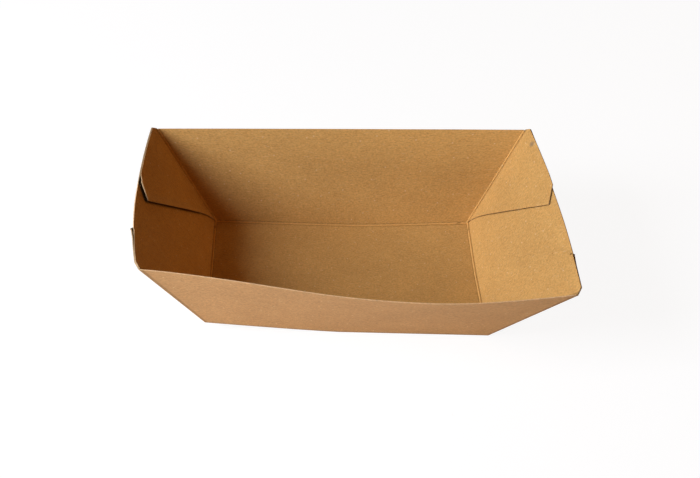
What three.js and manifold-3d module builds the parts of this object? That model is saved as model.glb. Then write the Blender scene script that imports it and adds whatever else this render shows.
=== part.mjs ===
// Paper food tray: one die-cut sheet of brown board, folded up on eight creases and glued at four corner tabs.
// The back wall's tabs are glued inside the end walls, the front wall's tabs outside them.
// Millimetres, +Z up, +X along the long walls to the right, +Y from the front wall to the back wall.
// The origin lies in the middle of the flat base, on the face the tray stands on.

import * as THREE from 'three';
import { mergeVertices } from 'three/addons/utils/BufferGeometryUtils.js';
import Module from 'manifold-3d';

const wasm = await Module();
wasm.setup();

// Board
const BOARD = 0.45;             // thickness of the sheet
const CREASE_RADIUS = 0.55;     // outer rounding of a fold, also the half width of the bead inside it
const CREASE_RECESS = 0.03;     // the rounded fold lies this much inside the panels' outer faces
const GLUE_PRESS = 0.06;        // how far the faces of a glued joint are pressed into each other

// Base panel
const BASE_LENGTH = 130;
const BASE_WIDTH = 78.5;
const CORNER_LIFT = 4;          // the front-left and back-right base corners are sprung up by this much
const LIFT_POWER = 1.2;         // how late the sprung corners start to rise
const FLAT_SHARE = 0.06;        // part of the way to such a corner that still lies flat

// Walls, measured between the board's middle planes
const LONG_WALL_HEIGHT = 47;    // rim of the front and back walls
const END_WALL_RISE = 2.5;      // the end walls stand this much higher
const END_LEAN = 29.2;          // outward lean of an end wall over its own height
const SIDE_LEAN = 19.6;         // outward lean of a long wall over the same height
const RIM_TWIST = 3.9;          // sprung rim corners stand this much up, the other two this much down
const RIM_SKEW = 2.4;           // the back rim sits this much to the left, the front rim to the right
const CHAMFER_LENGTH = 3.6;     // corner cut off an end wall, measured along its rim

// Outward bow of each wall at its rim
const BACK_BOW = 1;
const FRONT_BOW = 8.7;
const LEFT_BOW = 4.7;
const RIGHT_BOW = 2.7;
const FRONT_BOW_LEFT_POWER = 1.77;      // the front wall bulges most right of its middle
const FRONT_BOW_RIGHT_POWER = 1.18;
const BOW_RISE_POWER = 1.5;     // how the bow grows from the base fold to the rim

// Tabs, reaches measured along the rim from the corner fold
const INNER_TAB_REACH = 48.5;
const INNER_TAB_POINT = 57.5;   // reach of the slanted end's lower point
const INNER_TAB_DROP = 6;       // height of the slanted end below the rim
const OUTER_TAB_REACH = 27;
const OUTER_TAB_POINT = 36.5;
const OUTER_TAB_DROP = 6.8;
const TAB_CURVE_HEIGHT = 14;    // a tab's lower edge curves up from the base corner to here, then runs straight
const TAB_CURVE_POWER = 1.5;
const TAB_FOOT = 1.4;           // height above the base where the tab's lower edge leaves the fold
const TAB_SHY = 0.2;            // a tab and its fold end this much short of the walls' rims
const FREE_BAND = 9;            // width of the unglued strip along a tab's free edges
const LEFT_STAND_OFF = 1.5;     // how far the free edge of each tab stands off the end wall
const RIGHT_STAND_OFF = 0.5;
const OUTER_STAND_OFF = 0.45;
const RIGHT_TAB_SLIP = 1.5;     // the right inner tab was glued slightly high, its end stands over the rim
const LEFT_OUTER_SLIP = 0.9;    // and so were the outer tabs
const RIGHT_OUTER_SLIP = 0.3;
const LEFT_TAB_CREEP = 2.5;     // the left end's tabs reach this much further along its wall than they were cut for
const RIGHT_TAB_CREEP = -2;

// Grid density
const BASE_CELLS = { along: 16, across: 10 };
const LONG_WALL_CELLS = { along: 18, up: 6 };
const END_WALL_CELLS = { along: 16, up: 8 };
const OUTLINE_CELLS = 6;
const CHAMFER_ROWS = 2;
const OUTLINE_ROWS = 3;
const CREASE_TURN = 0.3;        // part of a side that a fold's bar is turned by, so no edge lies in a panel's end
const CREASE_SIDES = 12;
const CREASE_STEPS = 10;

const BOARD_COLOUR = 0xb98a54;

const END_WALL_HEIGHT = LONG_WALL_HEIGHT + END_WALL_RISE;
const LONG_WALL_SHARE = LONG_WALL_HEIGHT / END_WALL_HEIGHT;
const END_RIM_LENGTH = BASE_WIDTH + 2 * SIDE_LEAN;
const CHAMFER_SHARE = CHAMFER_LENGTH / END_RIM_LENGTH;
const TAB_OFFSET = BOARD - GLUE_PRESS;
const CREASE_INSET = CREASE_RADIUS - BOARD / 2;
const BAR_RADIUS = CREASE_RADIUS - CREASE_RECESS;
const BALL_RADIUS = BAR_RADIUS - CREASE_RECESS;
const CUTTER_REACH = 4 * BOARD + Math.max(LEFT_STAND_OFF, RIGHT_STAND_OFF, OUTER_STAND_OFF);
const DOWN = new THREE.Vector3(0, 0, -1);
const UP = new THREE.Vector3(0, 0, 1);

const lerp = THREE.MathUtils.lerp;

// Middle plane of the base panel: flat at the middle and under two corners, rising to the other two.
function basePoint(x, y) {
  const towards = (4 * x * y) / (BASE_LENGTH * BASE_WIDTH);
  const rise = Math.max((towards - FLAT_SHARE) / (1 - FLAT_SHARE), 0);
  return new THREE.Vector3(x, y, BOARD / 2 + CORNER_LIFT * Math.pow(rise, LIFT_POWER));
}

// Corner of the tray's rim on the side (sx, sy), at the height of the end walls.
function rimCorner(sx, sy) {
  const x = sx * (BASE_LENGTH / 2 + END_LEAN) - sy * RIM_SKEW;
  const y = sy * (BASE_WIDTH / 2 + SIDE_LEAN);
  return new THREE.Vector3(x, y, END_WALL_HEIGHT + sx * sy * RIM_TWIST);
}

// Middle plane of a wall between two corners. u runs along it from the first corner, v from fold to rim.
function wallBetween(from, to, bow) {
  const foot = (u) => basePoint(
    lerp(from.sx, to.sx, u) * BASE_LENGTH / 2,
    lerp(from.sy, to.sy, u) * BASE_WIDTH / 2,
  );
  const rim = (u) => rimCorner(from.sx, from.sy).lerp(rimCorner(to.sx, to.sy), u);
  const along = foot(1).sub(foot(0));
  const up = rim(0.5).sub(foot(0.5));
  const outward = along.clone().cross(up).normalize();
  if (outward.dot(foot(0.5).setZ(0)) < 0) {
    outward.negate();
  }
  const at = (u, v, offset = 0) => {
    const start = foot(u);
    const point = start.clone().lerp(rim(u), v);
    return point.addScaledVector(outward, bow(u) * Math.pow(v, BOW_RISE_POWER) + offset);
  };
  return { at, outward, length: along.length(), height: up.length() };
}

// A bow that is even about the middle of its wall.
function evenBow(size) {
  return (u) => size * 4 * u * (1 - u);
}

// The front wall's bow, with its peak moved to the right.
function frontBow(u) {
  const a = FRONT_BOW_LEFT_POWER;
  const b = FRONT_BOW_RIGHT_POWER;
  const peak = a / (a + b);
  const share = (s) => Math.pow(Math.max(s, 0), a) * Math.pow(Math.max(1 - s, 0), b);
  return FRONT_BOW * share(u) / share(peak);
}

const BACK_LEFT = { sx: -1, sy: 1 };
const BACK_RIGHT = { sx: 1, sy: 1 };
const FRONT_LEFT = { sx: -1, sy: -1 };
const FRONT_RIGHT = { sx: 1, sy: -1 };

const backWall = wallBetween(BACK_LEFT, BACK_RIGHT, evenBow(BACK_BOW));
const frontWall = wallBetween(FRONT_LEFT, FRONT_RIGHT, frontBow);
const leftWall = wallBetween(BACK_LEFT, FRONT_LEFT, evenBow(LEFT_BOW));
const rightWall = wallBetween(BACK_RIGHT, FRONT_RIGHT, evenBow(RIGHT_BOW));

// Distance from a fold line at which a flat panel gives way to the rounded fold.
function setback(normalA, normalB) {
  const cosine = normalA.dot(normalB);
  return CREASE_INSET * Math.sqrt((1 - cosine) / (1 + cosine));
}

// Axis of a rounded fold, seen from the fold line: inside both panels, one radius from their outer faces.
function creaseShift(normalA, normalB) {
  const both = normalA.clone().add(normalB);
  return both.multiplyScalar(-CREASE_INSET / (1 + normalA.dot(normalB)));
}

function closedGeometry(points, faces) {
  const geometry = new THREE.BufferGeometry();
  geometry.setAttribute('position', new THREE.Float32BufferAttribute(points.flatMap((p) => p.toArray()), 3));
  geometry.setIndex(faces);
  return geometry;
}

// A panel: a grid of middle-plane points, moved to each side by the half thickness and closed around its edge.
// The grid's columns by its rows must turn anticlockwise seen from the side the normal points to.
function panel(grid, normal, half = BOARD / 2) {
  const rows = grid.length;
  const columns = grid[0].length;
  const count = rows * columns;
  const flat = grid.flat();
  const outer = flat.map((p) => p.clone().addScaledVector(normal, half));
  const inner = flat.map((p) => p.clone().addScaledVector(normal, -half));
  const faces = [];
  const quad = (a, b, c, d) => faces.push(a, b, c, a, c, d);
  for (let j = 0; j < rows - 1; j += 1) {
    for (let i = 0; i < columns - 1; i += 1) {
      const a = j * columns + i;
      const b = a + 1;
      const c = b + columns;
      const d = a + columns;
      quad(a, b, c, d);
      quad(a + count, d + count, c + count, b + count);
    }
  }
  const index = (i, j) => j * columns + i;
  const across = Array.from({ length: columns - 1 }, (_, i) => i);
  const upwards = Array.from({ length: rows - 1 }, (_, j) => j);
  const rim = [
    ...across.map((i) => index(i, 0)),
    ...upwards.map((j) => index(columns - 1, j)),
    ...across.map((i) => index(columns - 1 - i, rows - 1)),
    ...upwards.map((j) => index(0, rows - 1 - j)),
  ];
  rim.forEach((a, k) => {
    const b = rim[(k + 1) % rim.length];
    quad(a, a + count, b + count, b);
  });
  return closedGeometry([...outer, ...inner], faces);
}

// Panel on a wall between the outlines left(v) and right(v), with rows at the given heights.
function wallPanel(wall, { place = wall.at, heights, left, right, columns, half }) {
  const grid = heights.map((v) => {
    const row = [];
    for (let i = 0; i <= columns; i += 1) {
      row.push(place(lerp(left(v), right(v), i / columns), v));
    }
    return row;
  });
  const along = grid[0][1].clone().sub(grid[0][0]);
  const up = grid[1][0].clone().sub(grid[0][0]);
  if (along.cross(up).dot(wall.outward) < 0) {
    grid.forEach((row) => row.reverse());
  }
  return panel(grid, wall.outward, half);
}

// Evenly spaced heights from one share of the wall to another.
function heightsBetween(low, high, cells) {
  return Array.from({ length: cells + 1 }, (_, j) => lerp(low, high, j / cells));
}

function basePanel() {
  const endSetback = setback(DOWN, leftWall.outward);
  const sideSetback = setback(DOWN, backWall.outward);
  const halfLength = BASE_LENGTH / 2 - endSetback;
  const halfWidth = BASE_WIDTH / 2 - sideSetback;
  const { along, across } = BASE_CELLS;
  const grid = Array.from({ length: across + 1 }, (_, j) => Array.from({ length: along + 1 }, (__, i) => (
    basePoint(lerp(-halfLength, halfLength, i / along), lerp(-halfWidth, halfWidth, j / across))
  )));
  return toSolid(panel(grid, UP));
}

// Long wall between its two tab folds. The folds lie on the tabs' own plane, inside or outside the end walls.
function longWallPanel(wall, tabSide) {
  const shift = -tabSide * TAB_OFFSET / rightWall.outward.x;
  const trim = shift + setback(wall.outward, rightWall.outward);
  const foot = setback(DOWN, wall.outward) / wall.height;
  const { along, up } = LONG_WALL_CELLS;
  const heights = heightsBetween(foot, LONG_WALL_SHARE, up);
  const left = () => trim / wall.length;
  const right = () => 1 - trim / wall.length;
  return toSolid(wallPanel(wall, { heights, left, right, columns: along }));
}

// Share of the wall's length cut off at a rim corner, at height v.
function chamferAt(v) {
  const above = THREE.MathUtils.clamp((v - LONG_WALL_SHARE) / (1 - LONG_WALL_SHARE), 0, 1);
  return CHAMFER_SHARE * above;
}

// One layer of board over the whole end wall and a little past its rim. Every layer has the same cells, so glued
// layers lie flat on each other. place(u, v) gives the layer's distance from the end wall's own middle plane.
function endWallLayer(wall, distance) {
  const { along, up } = END_WALL_CELLS;
  return toSolid(wallPanel(wall, {
    place: (u, v) => wall.at(u, v, distance(u, v)),
    heights: heightsBetween(0, 1 + 1 / up, up + 1),
    left: () => 0,
    right: () => 1,
    columns: along,
  }));
}

// Thick block over an end wall with the outline that is punched out of a layer.
function outlineBlock(wall, { place, heights, left, right }) {
  return toSolid(wallPanel(wall, { place, heights, left, right, columns: OUTLINE_CELLS, half: CUTTER_REACH }));
}

// Heights for an outline: a few between the given stops and up to the long walls' rim, then those of the cut corner.
function outlineHeights(top, ...stops) {
  const rows = stops.flatMap((stop, k) => (
    heightsBetween(stop, stops[k + 1] ?? LONG_WALL_SHARE, OUTLINE_ROWS).slice(0, OUTLINE_ROWS)
  ));
  return [...rows, ...heightsBetween(LONG_WALL_SHARE, top, CHAMFER_ROWS)];
}

// End wall: its back cut edge reaches the corner, its front cut edge stops against the front wall's inner face.
function endWallPanel(wall) {
  const heights = outlineHeights(1, setback(DOWN, wall.outward) / wall.height, LONG_WALL_SHARE / 2);
  const frontGap = BOARD / 2 / wall.length;
  const left = (v) => chamferAt(v);
  const right = (v) => 1 - Math.max(chamferAt(v), frontGap);
  return endWallLayer(wall, () => 0).intersect(outlineBlock(wall, { heights, left, right }));
}

// Lower edge of a tab up to its point: from the base corner it curves, then runs straight in the wall's plane.
// Gives the edge's share of the wall's length at height v.
function lowerEdge(wall, pointShare, pointHeight) {
  const lengthAt = (v) => BASE_WIDTH + 2 * SIDE_LEAN * v;
  const curveHeight = TAB_CURVE_HEIGHT / wall.height;
  const pointReach = pointShare * lengthAt(pointHeight) - SIDE_LEAN * pointHeight;
  const curveReach = pointReach / (1 + TAB_CURVE_POWER * (pointHeight / curveHeight - 1));
  return (v) => {
    const climb = Math.max(v, 0) / curveHeight;
    const straight = 1 + TAB_CURVE_POWER * (climb - 1);
    const reach = curveReach * (climb < 1 ? Math.pow(climb, TAB_CURVE_POWER) : straight);
    return (reach + SIDE_LEAN * v) / lengthAt(v);
  };
}

// A corner tab, folded from a long wall and glued to the end wall. side is -1 inside the end wall, 1 outside.
// fromBack tells whether the tab starts at the back corner or at the front corner of the end wall.
function tabPanel(wall, { side, fromBack, reach, point, drop, creep, standOff, slip }) {
  const reachShare = (reach + creep) / END_RIM_LENGTH;
  const pointShare = (point + creep) / END_RIM_LENGTH;
  const pointHeight = 1 - drop / wall.height;
  const fold = setback(wall.outward, backWall.outward) / wall.length;
  const shy = TAB_SHY / wall.height;
  const alongWall = (u) => (fromBack ? u : 1 - u);
  const near = (v) => Math.max(chamferAt(v) + TAB_SHY / END_RIM_LENGTH, fold);
  const lower = lowerEdge(wall, pointShare, pointHeight);
  const slanted = (v) => lerp(pointShare, reachShare, (v - pointHeight) / (1 - pointHeight));
  const far = (v) => (v < pointHeight ? lower(v) : slanted(v));
  const distance = (u, v) => {
    const toFreeEdge = (far(v) - alongWall(u)) * END_RIM_LENGTH;
    const free = THREE.MathUtils.smoothstep(FREE_BAND - toFreeEdge, 0, FREE_BAND);
    const held = THREE.MathUtils.smoothstep(v, 0, pointHeight / 2);
    return side * (TAB_OFFSET + standOff * free * held);
  };
  const block = outlineBlock(wall, {
    place: (u, v) => wall.at(alongWall(u), v + slip / wall.height * u / reachShare),
    heights: outlineHeights(1 - shy, TAB_FOOT / wall.height, TAB_CURVE_HEIGHT / wall.height, pointHeight),
    left: near,
    right: far,
  });
  return endWallLayer(wall, distance).intersect(block);
}

// Rounded fold: a round bar along the given axis points, with ends cut square to the given direction.
function creaseBar(axis, endNormal) {
  const points = [];
  const faces = [];
  const last = axis.length - 1;
  axis.forEach((centre, k) => {
    const direction = axis[Math.min(k + 1, last)].clone().sub(axis[Math.max(k - 1, 0)]).normalize();
    const sideways = new THREE.Vector3().crossVectors(direction, new THREE.Vector3(1, 1, 0)).normalize();
    const upward = new THREE.Vector3().crossVectors(direction, sideways);
    const cut = endNormal ?? direction;
    for (let i = 0; i < CREASE_SIDES; i += 1) {
      const angle = 2 * Math.PI * (i + CREASE_TURN) / CREASE_SIDES;
      const arm = sideways.clone().multiplyScalar(BAR_RADIUS * Math.cos(angle));
      arm.addScaledVector(upward, BAR_RADIUS * Math.sin(angle));
      arm.addScaledVector(direction, -arm.dot(cut) / direction.dot(cut));
      points.push(centre.clone().add(arm));
    }
  });
  points.push(axis[0].clone(), axis[last].clone());
  const startCentre = CREASE_SIDES * axis.length;
  const endCentre = startCentre + 1;
  for (let i = 0; i < CREASE_SIDES; i += 1) {
    const next = (i + 1) % CREASE_SIDES;
    for (let k = 0; k < last; k += 1) {
      const a = k * CREASE_SIDES + i;
      const b = k * CREASE_SIDES + next;
      faces.push(a, b, b + CREASE_SIDES, a, b + CREASE_SIDES, a + CREASE_SIDES);
    }
    faces.push(startCentre, next, i);
    faces.push(endCentre, last * CREASE_SIDES + i, last * CREASE_SIDES + next);
  }
  return toSolid(closedGeometry(points, faces));
}

// Point at the given distances from three planes that pass through a corner.
function pointNear(corner, normals, distances) {
  const rows = new THREE.Matrix3();
  rows.set(...normals.flatMap((n) => n.toArray()));
  return corner.clone().add(new THREE.Vector3(...distances).applyMatrix3(rows.invert()));
}

// Where the rounded folds of the base, a long wall and an end wall or its tab meet: one radius inside their faces.
// layer is the distance of the end wall's layer from its middle plane.
function creaseCorner(endWall, longWall, u, layer) {
  const normals = [DOWN, longWall.outward, endWall.outward];
  return pointNear(endWall.at(u, 0), normals, [-CREASE_INSET, -CREASE_INSET, layer - CREASE_INSET]);
}

// Fold between the base and a wall.
function baseCrease(wall, from, to) {
  const shift = creaseShift(DOWN, wall.outward);
  const axis = [from];
  for (let k = 1; k < CREASE_STEPS; k += 1) {
    axis.push(wall.at(k / CREASE_STEPS, 0).add(shift));
  }
  axis.push(to);
  return creaseBar(axis, null);
}

// Fold between a long wall and its tab, from the base corner up to the long wall's rim.
function tabCrease(endWall, longWall, u, layer, from) {
  const normals = [UP, longWall.outward, endWall.outward];
  const rim = endWall.at(u, LONG_WALL_SHARE - TAB_SHY / endWall.height);
  return creaseBar([from, pointNear(rim, normals, [0, -CREASE_INSET, layer - CREASE_INSET])], UP);
}

// The ball that closes the folds at a base corner.
function cornerBall(centre) {
  const ball = new THREE.SphereGeometry(BALL_RADIUS, CREASE_SIDES, CREASE_SIDES / 2);
  ball.deleteAttribute('normal');
  ball.deleteAttribute('uv');
  return toSolid(mergeVertices(ball).translate(centre.x, centre.y, centre.z));
}

function toSolid(geometry) {
  return new wasm.Manifold(new wasm.Mesh({
    numProp: 3,
    vertProperties: Float32Array.from(geometry.attributes.position.array),
    triVerts: Uint32Array.from(geometry.index.array),
  }));
}

function toGeometry(solid) {
  const mesh = solid.getMesh();
  const geometry = new THREE.BufferGeometry();
  geometry.setAttribute('position', new THREE.Float32BufferAttribute(mesh.vertProperties, 3));
  geometry.setIndex([...mesh.triVerts]);
  geometry.computeVertexNormals();
  return geometry;
}

function buildTray() {
  const inner = { side: -1, fromBack: true, reach: INNER_TAB_REACH, point: INNER_TAB_POINT, drop: INNER_TAB_DROP };
  const outer = { side: 1, fromBack: false, reach: OUTER_TAB_REACH, point: OUTER_TAB_POINT, drop: OUTER_TAB_DROP };
  const ends = [
    { wall: leftWall, creep: LEFT_TAB_CREEP, standOff: LEFT_STAND_OFF, slip: 0, outerSlip: LEFT_OUTER_SLIP },
    {
      wall: rightWall,
      creep: RIGHT_TAB_CREEP,
      standOff: RIGHT_STAND_OFF,
      slip: RIGHT_TAB_SLIP,
      outerSlip: RIGHT_OUTER_SLIP,
    },
  ];
  const parts = [basePanel(), longWallPanel(backWall, inner.side), longWallPanel(frontWall, outer.side)];
  const corners = ends.map(({ wall, creep, standOff, slip, outerSlip }) => {
    const back = creaseCorner(wall, backWall, 0, inner.side * TAB_OFFSET);
    const front = creaseCorner(wall, frontWall, 1, outer.side * TAB_OFFSET);
    parts.push(endWallPanel(wall));
    parts.push(tabPanel(wall, { ...inner, creep, standOff, slip }));
    parts.push(tabPanel(wall, { ...outer, creep, standOff: OUTER_STAND_OFF, slip: outerSlip }));
    parts.push(tabCrease(wall, backWall, 0, inner.side * TAB_OFFSET, back));
    parts.push(tabCrease(wall, frontWall, 1, outer.side * TAB_OFFSET, front));
    parts.push(baseCrease(wall, creaseCorner(wall, backWall, 0, 0), creaseCorner(wall, frontWall, 1, 0)));
    parts.push(cornerBall(back), cornerBall(front));
    return { back, front };
  });
  parts.push(baseCrease(backWall, corners[0].back, corners[1].back));
  parts.push(baseCrease(frontWall, corners[0].front, corners[1].front));
  return parts.reduce((whole, part) => whole.add(part));
}

function boardMaterial() {
  return new THREE.MeshStandardMaterial({ color: BOARD_COLOUR, roughness: 0.9, metalness: 0 });
}

const tray = new THREE.Mesh(toGeometry(buildTray()), boardMaterial());
tray.name = 'tray';

const model = new THREE.Group();
model.name = 'paper_food_tray';
model.add(tray);

export default model;
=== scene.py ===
"""Paper food tray: the fine surface, finish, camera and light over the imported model's frame.

The tray is one die-cut sheet of kraft board, folded and glued at four corner tabs. Its sizes are in
millimetres, in the model's own frame, and every mesh is written in metres.
"""

import logging
import math
from collections.abc import Callable
from dataclasses import dataclass, field, replace
from enum import Enum
from typing import Any

import bpy
import numpy as np
from mathutils import Matrix, Vector


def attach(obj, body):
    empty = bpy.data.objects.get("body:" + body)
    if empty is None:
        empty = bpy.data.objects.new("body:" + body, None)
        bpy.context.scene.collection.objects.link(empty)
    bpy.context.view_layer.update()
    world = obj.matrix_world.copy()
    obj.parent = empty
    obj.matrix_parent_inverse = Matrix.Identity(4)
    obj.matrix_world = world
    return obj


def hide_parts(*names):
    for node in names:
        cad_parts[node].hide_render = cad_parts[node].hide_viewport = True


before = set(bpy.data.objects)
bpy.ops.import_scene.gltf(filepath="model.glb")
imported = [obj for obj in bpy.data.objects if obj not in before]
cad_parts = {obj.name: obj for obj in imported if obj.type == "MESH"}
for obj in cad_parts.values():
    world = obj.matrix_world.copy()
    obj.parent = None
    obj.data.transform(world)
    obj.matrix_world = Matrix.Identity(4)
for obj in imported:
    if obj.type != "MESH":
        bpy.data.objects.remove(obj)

LOG = logging.getLogger("paper_food_tray")
MM = 0.001
SEED = 7
WHITE = "#FFFFFF"

Array = np.ndarray
Share = Callable[[Array], Array]  # a value by the share along or up a wall
Relief = Callable[[Array, Array], Array]  # distance outward by the shares along and up a wall
Covered = tuple[Array, Array]  # how far the outer and the inner face are covered
Cover = Callable[[Array, Array], Covered]  # the same by the shares along and up a wall
Input = Any  # what a node's input takes: a number, hex code, vector, output socket or node
Inputs = dict[str | int, Input]


class Side(Enum):
    """Face of the end wall that a tab is glued to, as a sign along the wall's outward normal."""

    INSIDE = -1
    OUTSIDE = 1


class Trait(Enum):
    """What the finish knows of each point of the board, by its attribute's name."""

    INSIDE = "inside"  # 1 on the face that lines the tray, 0 on the other
    CUT_EDGE = "cut_edge"  # 1 on a cut edge
    BEAD = "bead"  # 1 on the rounded bead of a fold
    GAP = "gap"  # 1 where another layer covers the face: painted shade, as hardly any light gets under a tab


@dataclass(frozen=True)
class TraySizes:
    """The folded tray's sizes in millimetres, measured between the board's middle planes."""

    # Board, folds and glue
    board: float = 0.45
    crease_radius: float = 0.55
    crease_recess: float = 0.03
    crease_line: float = 1.1  # from a fold to the line of painted shade beside it
    past_crease: float = 3.3  # from a fold to well past that line on the blank
    glue_press: float = 0.06

    # Base, with its front left and back right corners sprung up
    length: float = 130.0
    width: float = 78.5
    corner_lift: float = 4.0
    lift_power: float = 1.2
    flat_share: float = 0.06

    # Walls and rim
    long_wall_height: float = 47.0
    end_wall_rise: float = 2.5
    end_lean: float = 29.2
    side_lean: float = 19.6
    rim_twist: float = 3.9
    rim_skew: float = 2.4
    chamfer_length: float = 3.6

    # Outward bows at the rim
    back_bow: float = 1.0
    front_bow: float = 8.7
    left_bow: float = 4.7
    right_bow: float = 2.7
    front_bow_left_power: float = 1.77
    front_bow_right_power: float = 1.18
    bow_rise_power: float = 1.5

    # Corner tabs
    tab_foot: float = 1.4
    tab_shy: float = 0.2
    tab_curve_height: float = 14.0
    tab_curve_power: float = 1.5
    free_band: float = 9.0  # width of a tab's edge that isn't held by glue
    tab_shade_blur: float = 0.6  # half width of the fade of the painted shade at the edge of a covered face

    # Step where an outer tab shows through its end wall
    step_height: float = 0.35
    step_half_width: float = 0.9
    step_rise: tuple[float, float] = (0.1, 0.4)  # shares of the height between which it grows
    step_open: float = 0.62  # share of the length beyond which it shows in full

    # Spacing of the mesh
    cell: float = 1.5
    tab_cell: float = 1.2
    fine_cell: float = 0.88
    rim_division: int = 5  # how much closer the rows are beside the cut-off rim corners
    column_margin: float = 1.3
    fold_points: int = 30

    @property
    def end_wall_height(self) -> float:
        """Height of the end walls' rim."""
        return self.long_wall_height + self.end_wall_rise

    @property
    def long_share(self) -> float:
        """Height of the long walls as a share of the end walls' height."""
        return self.long_wall_height / self.end_wall_height

    @property
    def end_rim(self) -> float:
        """Length of an end wall's rim."""
        return self.width + 2 * self.side_lean

    @property
    def tab_offset(self) -> float:
        """Distance between the middle planes of two glued layers."""
        return self.board - self.glue_press

    @property
    def crease_inset(self) -> float:
        """Distance from a panel's middle plane to the axis of a rounded fold."""
        return self.crease_radius - self.board / 2

    @property
    def bar_radius(self) -> float:
        """Radius of the rounded bead along a fold."""
        return self.crease_radius - self.crease_recess


@dataclass(frozen=True)
class WaveSizes:
    """Slight waves that a folded sheet keeps. Runs are millimetres per radian, along and up the wall."""

    height: float = 0.09
    long_run: tuple[float, float] = (13.0, 17.0)
    short_run: tuple[float, float] = (6.5, 23.0)
    short_share: float = 0.6
    grown_up: float = 0.4  # share of the height at which they have grown
    grown_along: float = 0.5  # and the same from the wall's ends, 1 at its middle


@dataclass(frozen=True)
class TabSizes:
    """A corner tab in millimetres, with reaches measured along the rim from the corner fold."""

    side: Side
    reach: float  # end of the slanted end at the rim
    point: float  # the tab's furthest point
    drop: float  # of the furthest point below the rim
    stand_off: float  # of the free edge from the wall
    slip: float = 0.0  # rise of a tab that was glued slightly high
    creep: float = 0.0  # how much further along its wall the tab ends


SIZES = TraySizes()
WAVES = WaveSizes()
INNER_TAB = TabSizes(Side.INSIDE, reach=48.5, point=57.5, drop=6.0, stand_off=0.5)
OUTER_TAB = TabSizes(Side.OUTSIDE, reach=27.0, point=36.5, drop=6.8, stand_off=0.45)
LEFT_CREEP = 2.5
RIGHT_CREEP = -2.0
DOWN = np.array([0.0, 0.0, -1.0])
UP = -DOWN


def smoothstep(x: Array, low: float, high: float) -> Array:
    """Smooth ramp over x, from 0 at low to 1 at high."""
    t = np.clip((x - low) / (high - low), 0.0, 1.0)
    return t * t * (3 - 2 * t)


def soft_edge(x: Array, half_width: float) -> Array:
    """Smooth ramp over x with its middle at 0."""
    return smoothstep(x, -half_width, half_width)


def no_relief(u: Array, v: Array) -> Array:
    """No distance outward, at any shares along and up a wall."""
    return 0 * u


def base_point(x: Array, y: Array) -> Array:
    """Middle plane of the base panel, with its two sprung corners.

    Args:
        x: Places along the tray.
        y: Places across the tray.

    Returns:
        Points, one per place, along the last axis.
    """
    s = SIZES
    towards = 4 * x * y / (s.length * s.width)
    rise = np.maximum((towards - s.flat_share) / (1 - s.flat_share), 0.0)
    return np.stack([x, y, s.board / 2 + s.corner_lift * rise**s.lift_power], -1)


def rim_corner(sx: int, sy: int) -> Array:
    """Corner of the tray's rim at the height of the end walls.

    Args:
        sx: -1 for left, 1 for right.
        sy: -1 for front, 1 for back.

    Returns:
        The corner.
    """
    s = SIZES
    x = sx * (s.length / 2 + s.end_lean) - sy * s.rim_skew
    y = sy * (s.width / 2 + s.side_lean)
    return np.array([x, y, s.end_wall_height + sx * sy * s.rim_twist])


def even_bow(size: float) -> Share:
    """Bow that is even about the middle of its wall, where the rim stands out by the size."""
    return lambda u: size * 4 * u * (1 - u)


def front_bow(u: Array) -> Array:
    """Bow of the front wall, with its peak right of the middle.

    Args:
        u: Shares along the wall.

    Returns:
        The bow at each share.
    """
    a, b = SIZES.front_bow_left_power, SIZES.front_bow_right_power
    peak = a / (a + b)
    shape = np.clip(u, 0, 1) ** a * np.clip(1 - u, 0, 1) ** b
    return SIZES.front_bow * shape / (peak**a * (1 - peak) ** b)


def setback(a: Array, b: Array) -> float:
    """Distance from a fold at which a flat panel gives way to the rounded bead, by both outward normals."""
    cosine = float(a @ b)
    return SIZES.crease_inset * math.sqrt((1 - cosine) / (1 + cosine))


def grid_quads(index: Array, closed: bool = False) -> Array:
    """Faces between the points of a grid.

    Args:
        index: Point numbers in rows and columns.
        closed: Whether each row is a ring.

    Returns:
        Four point numbers per face.
    """
    if closed:
        index = np.hstack([index, index[:, :1]])
    return np.stack([index[:-1, :-1], index[:-1, 1:], index[1:, 1:], index[1:, :-1]], -1).reshape(-1, 4)


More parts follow.
